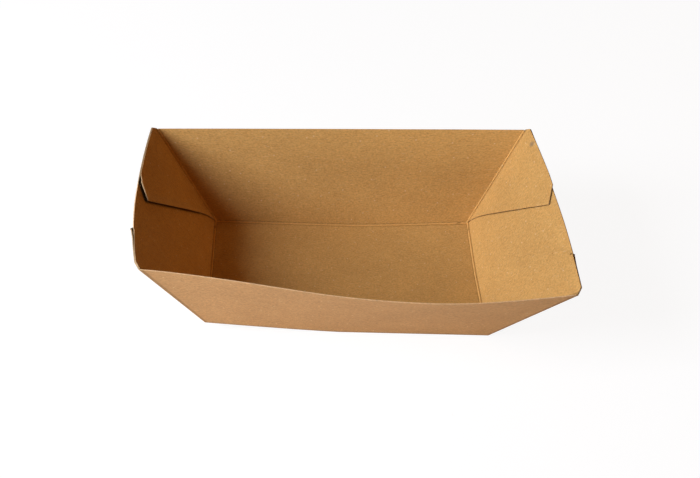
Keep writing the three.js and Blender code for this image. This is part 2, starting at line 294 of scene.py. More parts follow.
@dataclass
class Wall:
    """Middle plane of a wall between two corners: u runs along it, v from the base fold to the rim."""

    start: tuple[int, int]  # signs of the corner at u 0
    end: tuple[int, int]  # signs of the corner at u 1
    bow: Share  # outward bow at the rim by share along
    seed: int  # of the wall's own waves
    relief: Relief = no_relief

    def __post_init__(self) -> None:
        """Works out the wall's length, height, outward normal and waves."""
        first, middle, last = np.array(0.0), np.array(0.5), np.array(1.0)
        along = self.foot(last) - self.foot(first)
        up = self.rim(middle) - self.foot(middle)
        normal = np.cross(along, up)
        normal /= np.linalg.norm(normal)
        away = self.foot(middle) * [1, 1, 0]
        self.outward = normal if normal @ away > 0 else -normal
        self.length, self.height = float(np.linalg.norm(along)), float(np.linalg.norm(up))
        self.phases = np.random.default_rng(SEED + self.seed).uniform(0, 2 * math.pi, 4)

    def flat_foot(self, u: Array) -> Array:
        """Places of the base fold on the flat blank, by shares along the wall."""
        start, end = np.array(self.start), np.array(self.end)
        return (start + (end - start) * np.asarray(u)[..., None]) * [SIZES.length / 2, SIZES.width / 2]

    def foot(self, u: Array) -> Array:
        """Points of the base fold, by shares along the wall."""
        flat = self.flat_foot(u)
        return base_point(flat[..., 0], flat[..., 1])

    def rim(self, u: Array) -> Array:
        """Points of the straight line between the rim corners, by shares along the wall."""
        a, b = rim_corner(*self.start), rim_corner(*self.end)
        return a + (b - a) * np.asarray(u)[..., None]

    def blank(self, u: Array, v: Array) -> Array:
        """Places on the flat blank by shares along and up the wall, so that the grain runs on over folds."""
        way = np.where(np.equal(self.start, self.end), self.start, 0)
        return self.flat_foot(u) + way * (np.asarray(v) * self.height)[..., None]

    def waves(self, u: Array, v: Array) -> Array:
        """Slight waves, up to a seventh of a millimetre.

        Args:
            u: Shares along the wall.
            v: Shares up the wall.

        Returns:
            Distance outward at each place.
        """
        p, w = self.phases, WAVES
        x, y = u * self.length, v * self.height
        wave = np.sin(x / w.long_run[0] + p[0]) * np.sin(y / w.long_run[1] + p[1])
        wave = wave + w.short_share * np.sin(x / w.short_run[0] + p[2] + y / w.short_run[1])
        held = smoothstep(v, 0.0, w.grown_up) * smoothstep(4 * u * (1 - u), 0.0, w.grown_along)
        return w.height * wave * held

    def at(self, u: Array, v: Array, offset: Array | float = 0.0) -> Array:
        """Points on the wall.

        Args:
            u: Shares along the wall.
            v: Shares up the wall.
            offset: Distance outward from the middle plane.

        Returns:
            The points.
        """
        u, v = np.broadcast_arrays(np.asarray(u, float), np.asarray(v, float))
        foot = self.foot(u)
        point = foot + (self.rim(u) - foot) * v[..., None]
        out = self.bow(u) * np.maximum(v, 0) ** SIZES.bow_rise_power + offset
        out = out + self.waves(u, v) + self.relief(u, v)
        return point + out[..., None] * self.outward


@dataclass
class BoardMesh:
    """Collects the board's faces, with each point's place on the flat blank and its traits."""

    cut_edge_run: float = 0.4  # step over the blank's pattern from one side of a cut edge to the other
    cut_edge_tab_shade: float = 0.5  # how much of a face's painted shade under a tab its cut edge gets
    bead_inside: float = 0.3  # cosine from the outward side, below which a bead has the inner tone
    sides: int = 20  # faces around a bead
    points: list[Array] = field(default_factory=list)
    quads: list[Array] = field(default_factory=list)
    blank: list[Array] = field(default_factory=list)
    traits: dict[Trait, list[Array]] = field(default_factory=lambda: {trait: [] for trait in Trait})
    count: int = 0

    def add(self, points: Array, quads: Array, blank: Array, traits: dict[Trait, Array | float]) -> None:
        """Adds one patch of faces.

        Args:
            points: Corner points in millimetres.
            quads: Four point numbers per face, counted within the patch.
            blank: Places on the flat blank, one per point.
            traits: Values per point, or one for all, of the traits that aren't 0.
        """
        points = points.reshape(-1, 3)
        self.points.append(points)
        self.quads.append(quads + self.count)
        self.blank.append(blank.reshape(-1, 2))
        for trait, column in self.traits.items():
            value = np.asarray(traits.get(trait, 0.0), float).reshape(-1)
            column.append(np.broadcast_to(value, len(points)))
        self.count += len(points)

    def add_panel(self, grid: Array, outward: Array, blank: Array, covered: Covered | None = None) -> None:
        """Adds a panel: a grid of middle-plane points, given the board's thickness and a cut edge.

        Args:
            grid: Points in rows and columns.
            outward: Direction of the panel's outer face.
            blank: Places of the points on the flat blank.
            covered: How far the outer and the inner face are covered, one value per grid point each, which
                sets their painted shade.
        """
        layers = [grid, blank, *(covered or (np.zeros(grid.shape[:2]),) * 2)]
        if np.cross(grid[0, 1] - grid[0, 0], grid[1, 0] - grid[0, 0]) @ outward < 0:
            layers = [layer[:, ::-1] for layer in layers]
        grid, blank, outer_tab_shade, inner_tab_shade = layers
        index = np.arange(outer_tab_shade.size).reshape(outer_tab_shade.shape)
        quads = grid_quads(index)
        half = outward * SIZES.board / 2
        outer, inner = grid + half, grid - half
        self.add(outer, quads, blank, {Trait.GAP: outer_tab_shade})
        self.add(inner, quads[:, ::-1], blank, {Trait.INSIDE: 1.0, Trait.GAP: inner_tab_shade})
        loop = np.concatenate([index[0, :-1], index[:-1, -1], index[-1, :0:-1], index[:0:-1, 0]])
        n = len(loop)
        i = np.arange(n)
        j = (i + 1) % n
        flat = blank.reshape(-1, 2)[loop]
        gap = np.tile(self.cut_edge_tab_shade * np.maximum(outer_tab_shade, inner_tab_shade).reshape(-1)[loop], 2)
        self.add(
            np.vstack([outer.reshape(-1, 3)[loop], inner.reshape(-1, 3)[loop]]),
            np.stack([i, i + n, j + n, j], -1),
            np.vstack([flat, flat + self.cut_edge_run]),
            {Trait.INSIDE: 0.5, Trait.CUT_EDGE: 1.0, Trait.GAP: gap},
        )

    def add_bar(self, axis: Array, both: Array, blank: Array, cut: Array | None) -> None:
        """Adds the rounded bead along a fold.

        Args:
            axis: Points along the fold's axis.
            both: Sum of the two panels' outward normals, away from the tray's inside.
            blank: Places of the axis points on the flat blank.
            cut: Direction that the ends are cut square to, or None for the bar's own.
        """
        step = np.gradient(axis, axis=0)
        way = step / np.linalg.norm(step, axis=1, keepdims=True)
        out = both - (way @ both)[:, None] * way
        out /= np.linalg.norm(out, axis=1, keepdims=True)
        side = np.cross(way, out)
        angle = 2 * math.pi * np.arange(self.sides) / self.sides
        cosine, sine = np.cos(angle)[None, :, None], np.sin(angle)[None, :, None]
        arm = SIZES.bar_radius * (cosine * out[:, None] + sine * side[:, None])
        if cut is not None:
            arm = arm - ((arm @ cut) / (way @ cut)[:, None])[..., None] * way[:, None]
        ring = axis[:, None] + arm
        n = len(axis)
        inside = np.tile(np.cos(angle) < self.bead_inside, n)
        around = SIZES.bar_radius * angle + SIZES.past_crease
        flat = np.repeat(blank[:, None], self.sides, 1) + np.stack([around, around], -1)[None]
        quads = grid_quads(np.arange(n * self.sides).reshape(n, self.sides), closed=True)
        self.add(ring, quads, flat, {Trait.INSIDE: inside, Trait.BEAD: 1.0})
        i = np.arange(self.sides)
        following = 1 + (i + 1) % self.sides
        fan = np.stack([0 * i, 1 + i, following, following], -1)
        for end, quads in ((0, fan[:, ::-1]), (n - 1, fan)):
            cap = np.vstack([axis[end][None], ring[end]])
            around_cap = np.vstack([blank[end][None], flat[end]])
            self.add(cap, quads, around_cap, {Trait.INSIDE: 0.5, Trait.CUT_EDGE: 1.0})

    def add_ball(self, centre: Array, blank: Array) -> None:
        """Adds the ball that closes the folds at a base corner.

        Args:
            centre: Where the fold axes meet.
            blank: Its place on the flat blank.
        """
        turn = 2 * math.pi * np.arange(self.sides) / self.sides
        tilt = math.pi * np.arange(self.sides // 2 + 1) / (self.sides // 2)
        radius = SIZES.bar_radius - SIZES.crease_recess / 2
        wide, high = np.sin(tilt)[:, None], np.cos(tilt)[:, None]
        ring = np.stack([wide * np.cos(turn), wide * np.sin(turn), high + 0 * turn], -1)
        quads = grid_quads(np.arange(turn.size * tilt.size).reshape(-1, self.sides), closed=True)[:, ::-1]
        flat = blank + ring[..., :2] + SIZES.past_crease
        inside = ring[..., 2] > 0
        self.add(centre + radius * ring, quads, flat, {Trait.INSIDE: inside, Trait.BEAD: 1.0})

    def to_object(self, name: str, material: bpy.types.Material) -> bpy.types.Object:
        """Writes the mesh in metres.

        Args:
            name: Name of the piece.
            material: Its finish.

        Returns:
            The object, in the scene.
        """
        faces = [list(dict.fromkeys(quad)) for quad in np.vstack(self.quads).tolist()]
        faces = [face for face in faces if len(face) > 2]
        mesh = bpy.data.meshes.new(name)
        mesh.from_pydata((np.vstack(self.points) * MM).tolist(), [], faces)
        mesh.materials.append(material)
        loops = np.empty(len(mesh.loops), dtype=np.int32)
        mesh.loops.foreach_get("vertex_index", loops)
        layer = mesh.uv_layers.new(name="blank")
        layer.uv.foreach_set("vector", np.vstack(self.blank)[loops].astype(np.float32).ravel())
        for trait, column in self.traits.items():
            attribute = mesh.attributes.new(trait.value, "FLOAT", "POINT")
            attribute.data.foreach_set("value", np.concatenate(column).astype(np.float32))
        mesh.polygons.foreach_set("use_smooth", np.ones(len(faces), dtype=bool))
        mesh.validate()
        mesh.update()
        return add_object(name, mesh)


def hex_to_linear(code: str) -> tuple[float, float, float, float]:
    """Linear colour of an sRGB hex code.

    Args:
        code: Such as "#C4946A".

    Returns:
        Red, green, blue and an alpha of 1.
    """
    parts = [int(code[i : i + 2], 16) / 255 for i in (1, 3, 5)]
    linear = [p / 12.92 if p <= 0.04045 else ((p + 0.055) / 1.055) ** 2.4 for p in parts]
    return (*linear, 1.0)


def add_object(name: str, data: bpy.types.ID) -> bpy.types.Object:
    """Adds an object to the scene.

    Args:
        name: Its name.
        data: Its mesh, camera or light.

    Returns:
        The object.
    """
    obj = bpy.data.objects.new(name, data)
    bpy.context.scene.collection.objects.link(obj)
    return obj


class NodeGraph:
    """Builds the shader of a material or of the world."""

    # Socket numbers of a colour mix, which has several sockets of each name
    SHARE, LOWER, UPPER, MIXED = 0, 6, 7, 2

    def __init__(self, owner: bpy.types.Material | bpy.types.World) -> None:
        """Starts the owner's shader with no nodes."""
        owner.use_nodes = True
        self.tree = owner.node_tree
        self.tree.nodes.clear()

    def add(self, kind: str, inputs: Inputs | None = None, **settings: Any) -> bpy.types.Node:
        """Adds a node.

        Args:
            kind: Blender's node type.
            inputs: What goes into each input, by name or number. A hex code is turned to its linear colour,
                and a node gives its first output.
            **settings: The node's own properties.

        Returns:
            The node.
        """
        node = self.tree.nodes.new(kind)
        for key, value in settings.items():
            setattr(node, key, value)
        for key, value in (inputs or {}).items():
            value = value.outputs[0] if isinstance(value, bpy.types.Node) else value
            if isinstance(value, bpy.types.NodeSocket):
                self.tree.links.new(value, node.inputs[key])
            else:
                node.inputs[key].default_value = hex_to_linear(value) if isinstance(value, str) else value
        return node

    def blank(self) -> Input:
        """Place on the board's flat blank, in millimetres."""
        return self.add("ShaderNodeUVMap", uv_map="blank").outputs["UV"]

    def lay_over(self, tone: Input, layers: list[tuple[Input, Input]]) -> Input:
        """Lays tones over a first one.

        Args:
            tone: The lowest tone.
            layers: Mask and tone of each layer, lowest first.

        Returns:
            The tone that is seen.
        """
        for mask, upper in layers:
            inputs = {self.SHARE: mask, self.LOWER: tone, self.UPPER: upper}
            tone = self.add("ShaderNodeMix", inputs, data_type="RGBA").outputs[self.MIXED]
        return tone

    def background_rays(self) -> Input:
        """Mask of the rays that show the background: the camera's own, reflected and refracted ones.

        Returns:
            1 for such a ray, 0 for one that lights a matt face.
        """
        path = self.add("ShaderNodeLightPath").outputs
        mask: Input = path["Is Camera Ray"]
        for ray in ("Is Glossy Ray", "Is Transmission Ray"):
            mask = self.add("ShaderNodeMath", {0: mask, 1: path[ray]}, operation="MAXIMUM")
        return mask


@dataclass(frozen=True)
class Mottling:
    """Uneven density of the pulp. Cells are in millimetres on the flat blank."""

    cell_mm: float
    weight: float  # how much it changes the board's shade
    octaves: float = 2.0
    cells: tuple[float, float] = (1.0, 1.0)  # count in cell_mm along and across the sheet
    octave_share: float = 0.55

    def mask(self, graph: NodeGraph) -> Input:
        """Density at each place.

        Args:
            graph: The board's graph.

        Returns:
            Values from 0 to 1.
        """
        scale = (self.cells[0] / self.cell_mm, self.cells[1] / self.cell_mm, 1.0)
        place = graph.add("ShaderNodeMapping", {"Vector": graph.blank(), "Scale": scale})
        inputs = {"Vector": place, "Scale": 1.0, "Detail": self.octaves, "Roughness": self.octave_share}
        return graph.add("ShaderNodeTexNoise", inputs)


@dataclass(frozen=True)
class Layer:
    """Something small that lies over the board's own tone."""

    tone: str
    share: float  # how much of its tone shows

    def mask(self, graph: NodeGraph) -> Input:
        """Where the layer shows in the board's graph, from 0 to 1."""
        raise NotImplementedError


@dataclass(frozen=True)
class Hairs(Layer):
    """Sparse loose fibres along the sheet, slightly bent."""

    threshold: float  # noise level above which a hair shows
    turn: float  # turn and shift of the noise, so that two sets lie at different places
    shift: float
    length_mm: float = 2.6
    width_mm: float = 0.22  # several times as thick as a real fibre, so that it shows
    edge: float = 0.05  # rise of the noise over a hair's soft edge
    bend_mm: float = 3.0
    bends_per_mm: float = 0.25

    def mask(self, graph: NodeGraph) -> Input:
        """Where a hair lies.

        Args:
            graph: The board's graph.

        Returns:
            Values from 0 to 1.
        """
        inputs: Inputs = {"Vector": graph.blank(), "Scale": self.bends_per_mm, "Detail": 1.0}
        bend = graph.add("ShaderNodeTexNoise", inputs)
        reach = (self.bend_mm, self.bend_mm, 0.0)
        inputs = {0: bend.outputs["Color"], 1: reach, 2: graph.blank()}
        bent = graph.add("ShaderNodeVectorMath", inputs, operation="MULTIPLY_ADD")
        inputs = {
            "Vector": bent,
            "Rotation": (0.0, 0.0, self.turn),
            "Location": (self.shift, self.shift, 0.0),
            "Scale": (1 / self.length_mm, 1 / self.width_mm, 1.0),
        }
        place = graph.add("ShaderNodeMapping", inputs)
        value = graph.add("ShaderNodeTexNoise", {"Vector": place, "Scale": 1.0, "Detail": 0.0})
        inputs = {"Value": value, "From Min": self.threshold, "From Max": self.threshold + self.edge}
        return graph.add("ShaderNodeMapRange", inputs)


@dataclass(frozen=True)
class Specks(Layer):
    """Tiny round specks, about one per square centimetre."""

    size_mm: float = 0.6
    every_mm: float = 11.0
    fade: tuple[float, float] = (1.2, 0.6)  # shares of the radius between which a speck shows

    def mask(self, graph: NodeGraph) -> Input:
        """Where a speck lies.

        Args:
            graph: The board's graph.

        Returns:
            Values from 0 to 1.
        """
        scale = 1 / self.every_mm
        radius = self.size_mm / 2 * scale
        inputs = {"Vector": graph.blank(), "Scale": scale, "Randomness": 1.0}
        away = graph.add("ShaderNodeTexVoronoi", inputs, voronoi_dimensions="2D").outputs["Distance"]
        outer, inner = (radius * share for share in self.fade)
        return graph.add("ShaderNodeMapRange", {"Value": away, "From Min": outer, "From Max": inner})


@dataclass(frozen=True)
class Mark(Layer):
    """One small soft spot, in millimetres in the model's frame."""

    place: tuple[float, float, float]
    radius: float
    core: float = 0.25  # share of the radius that shows in full

    def mask(self, graph: NodeGraph) -> Input:
        """Where the spot lies.

        Args:
            graph: The board's graph.

        Returns:
            Values from 0 to 1.
        """
        place = graph.add("ShaderNodeTexCoord").outputs["Object"]
        centre = tuple(c * MM for c in self.place)
        away = graph.add("ShaderNodeVectorMath", {0: place, 1: centre}, operation="DISTANCE")
        reach = self.radius * MM
        inputs = {"Value": away.outputs["Value"], "From Min": reach, "From Max": reach * self.core}
        return graph.add("ShaderNodeMapRange", inputs)


@dataclass(frozen=True)
class KraftBoard:
    """Uncoated kraft board of unbleached pulp, about 310 g per square metre, rolled flat.

    To the eye it is warm brown and matt. Its fibres give a fine grain along the sheet, soft cloudy patches
    and a few pale and dark hairs and specks. Painted shade draws a thin dark line on each side of its folds
    and darkens the faces under the tabs, and a painted highlight lightens the folds' beads.
    """

    inside_tone: str = "#DAAD68"
    inside_patch: str = "#CA9A56"
    outside_tone: str = "#D2A572"
    outside_patch: str = "#C29361"
    # Paler fibres of the cut edges, made paler still as painted light on cut edges that face away from the
    # main light
    cut_tone_with_painted_light: str = "#EBC795"
    roughness: float = 0.82
    roughness_spread: tuple[float, float] = (-0.06, 0.08)
    ior: float = 1.47
    specular: float = 0.15  # the open face of the fibres scatters most of the reflection
    metallic: float = 0.0
    relief_mm: float = 0.04
    relief_share: float = 0.5
    patches: Mottling = Mottling(4.0, 0.0, 4.0, (1.0, 1.4))  # only mixes each face's two tones
    clouds: Mottling = Mottling(20.0, 0.22)
    streaks: Mottling = Mottling(0.75, 0.55, 3.0, (0.55, 1.1))
    grain: Mottling = Mottling(0.75, 0.65)  # about three times as coarse as real fibres, so that it shows
    pale_hairs: Hairs = Hairs("#EBCFA0", 0.45, threshold=0.735, turn=0.35, shift=11.0)
    dark_hairs: Hairs = Hairs("#6B4420", 0.3, threshold=0.74, turn=-0.5, shift=47.0)
    specks: Specks = Specks("#EBCFA0", 0.75)
    smudge: Mark = Mark("#6F6A60", 0.6, (91.5, 46.0, 50.5), 2.2)
    # Painted shade: a dark spot at the right rim over the end of the outer tab, standing in for that end in
    # shadow
    rim_tab_end_shade: Mark = Mark("#33210F", 0.8, (96.5, -33.4, 45.8), 0.8)
    short_mark: Mark = Mark("#5A3A1C", 0.5, (91.0, -24.2, 38.5), 0.8)
    plain_shade: float = 0.29  # shade with every mottling at 0
    # Painted highlight on the rounded bead of each fold
    bead_highlight_weight: float = 0.15
    # Painted shade in a thin line on each side of a fold
    crease_shade_weight: float = -0.3
    crease_blur_mm: float = 0.3
    # Painted shade under the tabs: how much it darkens a covered face
    tab_shade_darkness: float = 0.85

    def build(self) -> bpy.types.Material:
        """Makes the material.

        Returns:
            The material.
        """
        material = bpy.data.materials.new("kraft_board")
        graph = NodeGraph(material)
        inside, cut, bead, gap = (
            graph.add("ShaderNodeAttribute", attribute_name=trait.value).outputs["Fac"] for trait in Trait
        )
        patches = self.patches.mask(graph)
        inner = graph.lay_over(self.inside_patch, [(patches, self.inside_tone)])
        outer = graph.lay_over(self.outside_patch, [(patches, self.outside_tone)])
        tone = graph.lay_over(outer, [(inside, inner), (cut, self.cut_tone_with_painted_light)])

        # Shade of the board: grain and clouds of the pulp, with a painted highlight on the fold beads,
        # painted shade beside the folds and painted shade under the tabs
        streaks, grain = self.streaks.mask(graph), self.grain.mask(graph)
        weights = (
            (streaks, self.streaks.weight),
            (grain, self.grain.weight),
            (self.clouds.mask(graph), self.clouds.weight),
            (bead, self.bead_highlight_weight),
            (self.painted_crease_shade(graph), self.crease_shade_weight),
        )
        shade: Input = self.plain_shade
        for mask, weight in weights:
            shade = graph.add("ShaderNodeMath", {0: mask, 1: weight, 2: shade}, operation="MULTIPLY_ADD")
        # Painted shade under the tabs and on their glued faces
        tab_shade_factor = graph.add("ShaderNodeMath", {0: gap, 1: -self.tab_shade_darkness, 2: 1.0}, operation="MULTIPLY_ADD")
        shade = graph.add("ShaderNodeMath", {0: shade, 1: tab_shade_factor}, operation="MULTIPLY")
        tone = graph.add("ShaderNodeVectorMath", {0: tone, "Scale": shade}, operation="SCALE")

        # Hairs, specks and marks
        layers = (self.pale_hairs, self.dark_hairs, self.specks, self.smudge, self.rim_tab_end_shade, self.short_mark)
        masks = [layer.mask(graph) for layer in layers]
        for layer, mask in zip(layers, masks, strict=True):
            share = graph.add("ShaderNodeMath", {0: mask, 1: layer.share}, operation="MULTIPLY")
            tone = graph.lay_over(tone, [(share, layer.tone)])

        # Fine relief and gloss
        height: Input = streaks
        for mask in (grain, masks[0]):
            height = graph.add("ShaderNodeMath", {0: height, 1: mask}, operation="ADD")
        relief = {"Height": height, "Strength": self.relief_share, "Distance": self.relief_mm * MM}
        low, high = (self.roughness + spread for spread in self.roughness_spread)
        finish = {
            "Base Color": tone,
            "Roughness": graph.add("ShaderNodeMapRange", {"Value": grain, "To Min": low, "To Max": high}),
            "IOR": self.ior,
            "Specular IOR Level": self.specular,
            "Metallic": self.metallic,
            "Normal": graph.add("ShaderNodeBump", relief),
        }
        graph.add("ShaderNodeOutputMaterial", {"Surface": graph.add("ShaderNodeBsdfPrincipled", finish)})
        return material

    def painted_crease_shade(self, graph: NodeGraph) -> Input:
        """The thin line of painted shade on each side of a fold, where its groove would be shaded. All folds
        lie on the base's four edge lines, extended.

        Args:
            graph: The board's graph.

        Returns:
            Mask of the lines.
        """
        lines = (SIZES.length / 2, SIZES.width / 2, 0.0)
        away = graph.add("ShaderNodeVectorMath", {0: graph.blank()}, operation="ABSOLUTE")
        away = graph.add("ShaderNodeVectorMath", {0: away, 1: lines}, operation="SUBTRACT")
        away = graph.add("ShaderNodeVectorMath", {0: away}, operation="ABSOLUTE")
        split = graph.add("ShaderNodeSeparateXYZ", {0: away}).outputs
        nearest = graph.add("ShaderNodeMath", {0: split[0], 1: split[1]}, operation="MINIMUM")
        line, blur = SIZES.crease_line, self.crease_blur_mm
        inputs = {"Value": nearest, "From Min": line + blur, "From Max": line - blur}
        return graph.add("ShaderNodeMapRange", inputs)


@dataclass(frozen=True)
class PaleFloor:
    """Matt painted floor: near white to the eye, with the tray's soft shadow, and a pale reflector."""

    tone: str = "#E4E4E4"
    glow_share: float = 0.8
    glow_strength: float = 1.14
    roughness: float = 0.9
    ior: float = 1.3

    def build(self) -> bpy.types.Material:
        """Makes the material.

        Returns:
            The material.
        """
        material = bpy.data.materials.new("pale_floor")
        graph = NodeGraph(material)
        paint = {"Base Color": self.tone, "Roughness": self.roughness, "IOR": self.ior}
        share = {"Value": graph.background_rays(), "To Max": self.glow_share}
        parts = {
            0: graph.add("ShaderNodeMapRange", share),
            1: graph.add("ShaderNodeBsdfPrincipled", paint),
            2: graph.add("ShaderNodeEmission", {"Color": WHITE, "Strength": self.glow_strength}),
        }
        graph.add("ShaderNodeOutputMaterial", {"Surface": graph.add("ShaderNodeMixShader", parts)})
        return material


@dataclass
class FoldedTray:
    """The tray's board: base, four walls, four tabs and the rounded folds between them."""

    inner_left: TabSizes = replace(INNER_TAB, stand_off=1.5, creep=LEFT_CREEP)
    inner_right: TabSizes = replace(INNER_TAB, slip=1.5, creep=RIGHT_CREEP)
    outer_left: TabSizes = replace(OUTER_TAB, slip=0.9, creep=LEFT_CREEP)
    outer_right: TabSizes = replace(OUTER_TAB, slip=0.3, creep=RIGHT_CREEP)
    back: Wall = field(default_factory=lambda: Wall((-1, 1), (1, 1), even_bow(SIZES.back_bow), 1))
    front: Wall = field(default_factory=lambda: Wall((-1, -1), (1, -1), front_bow, 2))
    left: Wall = field(default_factory=lambda: Wall((-1, 1), (-1, -1), even_bow(SIZES.left_bow), 3))
    right: Wall = field(default_factory=lambda: Wall((1, 1), (1, -1), even_bow(SIZES.right_bow), 4))
    mesh: BoardMesh = field(default_factory=BoardMesh)

    def __post_init__(self) -> None:
        """Lets the outer tabs show through the end walls."""
        self.left.relief = self.telegraph(self.left, self.inner_left, self.outer_left)
        self.right.relief = self.telegraph(self.right, self.inner_right, self.outer_right)

    def kink(self, wall: Wall, tab: TabSizes) -> float:
        """Height of a tab's furthest point, as a share of the wall's."""
        return 1 - tab.drop / wall.height

    def far_edge(self, wall: Wall, tab: TabSizes) -> Share:
        """Outline of a tab's free side.

        Args:
            wall: The end wall it is glued to.
            tab: The tab.

        Returns:
            Share of the wall's length at each share of its height.
        """
        reach, point = (tab.reach + tab.creep) / SIZES.end_rim, (tab.point + tab.creep) / SIZES.end_rim
        kink = self.kink(wall, tab)
        power, curve = SIZES.tab_curve_power, SIZES.tab_curve_height / wall.height
        point_reach = point * (SIZES.width + 2 * SIZES.side_lean * kink) - SIZES.side_lean * kink
        curve_reach = point_reach / (1 + power * (kink / curve - 1))

        def edge(v: Array) -> Array:
            """Outline at a height: a curve from the base, a straight lower edge, then the slanted end.

            Args:
                v: Shares up the wall.

            Returns:
                Shares along the wall.
            """
            climb = np.maximum(v, 0) / curve
            run = curve_reach * np.where(climb < 1, climb**power, 1 + power * (climb - 1))
            lower = (run + SIZES.side_lean * v) / (SIZES.width + 2 * SIZES.side_lean * v)
            return np.where(v < kink, lower, point + (reach - point) * (v - kink) / (1 - kink))

        return edge

    def lift(self, wall: Wall, tab: TabSizes) -> float:
        """Rise of a tab that slipped, as a share of the wall's height per share of its length."""
        return tab.slip / wall.height * SIZES.end_rim / (tab.reach + tab.creep)

    def under(self, wall: Wall, tab: TabSizes, u: Array, v: Array) -> Array:
        """How far a tab covers its wall, by shares from the tab's fold and up, which sets the painted shade
        under it.
        """
        far = self.far_edge(wall, tab)(v - self.lift(wall, tab) * u)
        return soft_edge((far - u) * SIZES.end_rim, SIZES.tab_shade_blur)

    def chamfer(self, v: Array) -> Array:
        """Share of an end wall's length cut off at its rim corners, by share of its height."""
        above = np.clip((v - SIZES.long_share) / (1 - SIZES.long_share), 0, 1)
        return SIZES.chamfer_length / SIZES.end_rim * above

    def telegraph(self, wall: Wall, inner: TabSizes, outer: TabSizes) -> Relief:
        """The outer tab's edge shows through the end wall as a soft step.

        Args:
            wall: The end wall.
            inner: Its inner tab.
            outer: Its outer tab.

        Returns:
            Distance outward by share along and up the wall.
        """
        far = self.far_edge(wall, outer)
        clear = inner.reach / SIZES.end_rim

        def relief(u: Array, v: Array) -> Array:
            """Step across the tab's edge, by shares along and up, with none by the base or the inner tab."""
            step = SIZES.step_height * soft_edge((1 - u - far(v)) * SIZES.end_rim, SIZES.step_half_width)
            return step * smoothstep(v, *SIZES.step_rise) * smoothstep(u, clear, SIZES.step_open)

        return relief

    def rows(self, wall: Wall, low: float, stops: tuple[float, ...], cell: float) -> Array:
        """Heights of a panel's rows, closer beside the cut-off rim corners.

        Args:
            wall: The wall that the panel lies on.
            low: First height in millimetres.
            stops: Shares of the height that get a row of their own, the last one at the panel's end.
            cell: Row spacing in millimetres.

        Returns:
            The heights as shares.
        """
        first = low / wall.height
        out = [np.array([first])]
        for a, b in zip((first, *stops), stops, strict=False):
            spacing = cell / SIZES.rim_division if b > SIZES.long_share else cell
            count = max(int(round((b - a) * wall.height / spacing)), 1)
            out.append(np.linspace(a, b, count + 1)[1:])
        return np.concatenate(out)

    def wall_panel(
        self, wall: Wall, v: Array, left: Array, right: Array, offset: Relief = no_relief,
        cover: Cover | None = None, slip: float = 0.0, turned: bool = False,
    ) -> None:
        """Adds a panel that lies on a wall.

        Args:
            wall: The wall.
            v: Heights of the rows.
            left: Start of each row as a share along the wall.
            right: End of each row.
            offset: Distance outward by share along and up.
            cover: How far each face is covered, by share along and up.
            slip: Rise per share along, as a share of the height.
            turned: Whether shares are counted from the wall's far corner.
        """
        cell = SIZES.fine_cell if cover else SIZES.cell
        columns = int(wall.length / cell * float(np.max(right - left)) * SIZES.column_margin) + 2
        u = left[:, None] + (right - left)[:, None] * np.linspace(0, 1, columns)[None, :]
        height = np.broadcast_to(v[:, None], u.shape)
        along = 1 - u if turned else u
        grid = wall.at(along, height + slip * u, offset(u, height))
        covered = cover(u, height) if cover else None
        self.mesh.add_panel(grid, wall.outward, wall.blank(along, height), covered)

    def add_base(self) -> None:
        """Adds the base panel."""
        s = SIZES
        x = s.length / 2 - setback(DOWN, self.left.outward)
        y = s.width / 2 - setback(DOWN, self.back.outward)
        along, across = np.linspace(-x, x, int(s.length / s.cell)), np.linspace(-y, y, int(s.width / s.cell))
        gx, gy = np.meshgrid(along, across)
        self.mesh.add_panel(base_point(gx, gy), DOWN, np.stack([gx, gy], -1))

    def add_long_walls(self) -> None:
        """Adds the back and front walls between their tab folds."""
        for wall, side in ((self.back, Side.INSIDE), (self.front, Side.OUTSIDE)):
            shift = -side.value * SIZES.tab_offset / self.right.outward[0]
            trim = (shift + setback(wall.outward, self.right.outward)) / wall.length
            v = self.rows(wall, setback(DOWN, wall.outward), (SIZES.long_share,), SIZES.cell)
            left = np.full(len(v), trim)
            self.wall_panel(wall, v, left, 1 - left)

    def add_end_wall(self, wall: Wall, inner: TabSizes, outer: TabSizes) -> None:
        """Adds an end wall. Its faces are dark under the tabs, where hardly any light gets in.

        Args:
            wall: The wall.
            inner: The tab on its inner face.
            outer: The tab on its outer face.
        """
        clear = SIZES.board / 2 / wall.length
        v = self.rows(wall, setback(DOWN, wall.outward), (SIZES.long_share, 1.0), SIZES.fine_cell)
        left = self.chamfer(v)

        def cover(u: Array, h: Array) -> Covered:
            """Cover of the wall's outer and inner face by its tabs, by shares along and up."""
            return self.under(wall, outer, 1 - u, h), self.under(wall, inner, u, h)

        self.wall_panel(wall, v, left, 1 - np.maximum(left, clear), cover=cover)

    def add_tab(self, wall: Wall, tab: TabSizes) -> None:
        """Adds a corner tab.

        Args:
            wall: The end wall it is glued to.
            tab: The tab.
        """
        far = self.far_edge(wall, tab)
        kink = self.kink(wall, tab)
        outside = tab.side is Side.OUTSIDE

        def offset(u: Array, h: Array) -> Array:
            """Distance from the end wall, by shares along and up, where the free edge stands off."""
            free = smoothstep(SIZES.free_band - (far(h) - u) * SIZES.end_rim, 0, SIZES.free_band)
            return tab.side.value * (SIZES.tab_offset + tab.stand_off * free * smoothstep(h, 0, kink / 2))

        def cover(u: Array, h: Array) -> Covered:
            """Cover of a tab's faces, by shares along and up: only the glued one is covered and gets painted
            shade.
            """
            glued, free = 0 * u + 1.0, 0 * u
            return (free, glued) if outside else (glued, free)

        stops = (kink, SIZES.long_share, 1 - SIZES.tab_shy / wall.height)
        v = self.rows(wall, SIZES.tab_foot, stops, SIZES.tab_cell)
        fold = setback(wall.outward, self.back.outward) / wall.length
        near = np.maximum(self.chamfer(v) + SIZES.tab_shy / SIZES.end_rim, fold)
        self.wall_panel(wall, v, near, far(v), offset, cover, self.lift(wall, tab), outside)

